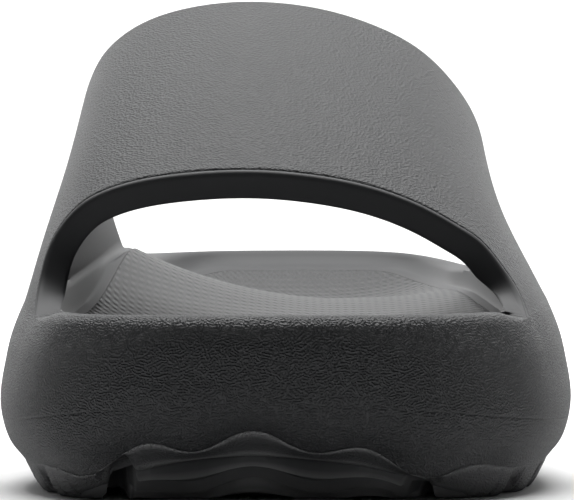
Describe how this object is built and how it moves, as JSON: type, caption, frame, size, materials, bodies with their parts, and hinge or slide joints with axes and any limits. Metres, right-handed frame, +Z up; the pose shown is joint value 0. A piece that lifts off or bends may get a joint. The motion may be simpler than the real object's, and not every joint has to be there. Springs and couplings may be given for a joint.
{
  "type": "sport slide sandal",
  "caption": "Left foam slide sandal: one moulding of broad closed strap and deep pillow sole with wavy tread, and a textured footbed, standing empty.",
  "frame": {"origin": "on the ground, in the middle of the outline's length and width", "axes": "+Z up; the toe points along -Y and the heel along +Y; the inner side of the foot is at -X and the outer side at +X"},
  "size_m": [0.116, 0.29, 0.1003],
  "materials": {
    "onyx_foam": "matte moulded foam with a fine wrinkled grain",
    "footbed_foam": "matte soft foam with a wavy texture"
  },
  "bodies": {
    "root": {"moulded_body": "onyx_foam", "footbed": "footbed_foam"}
  },
  "joints": []
}
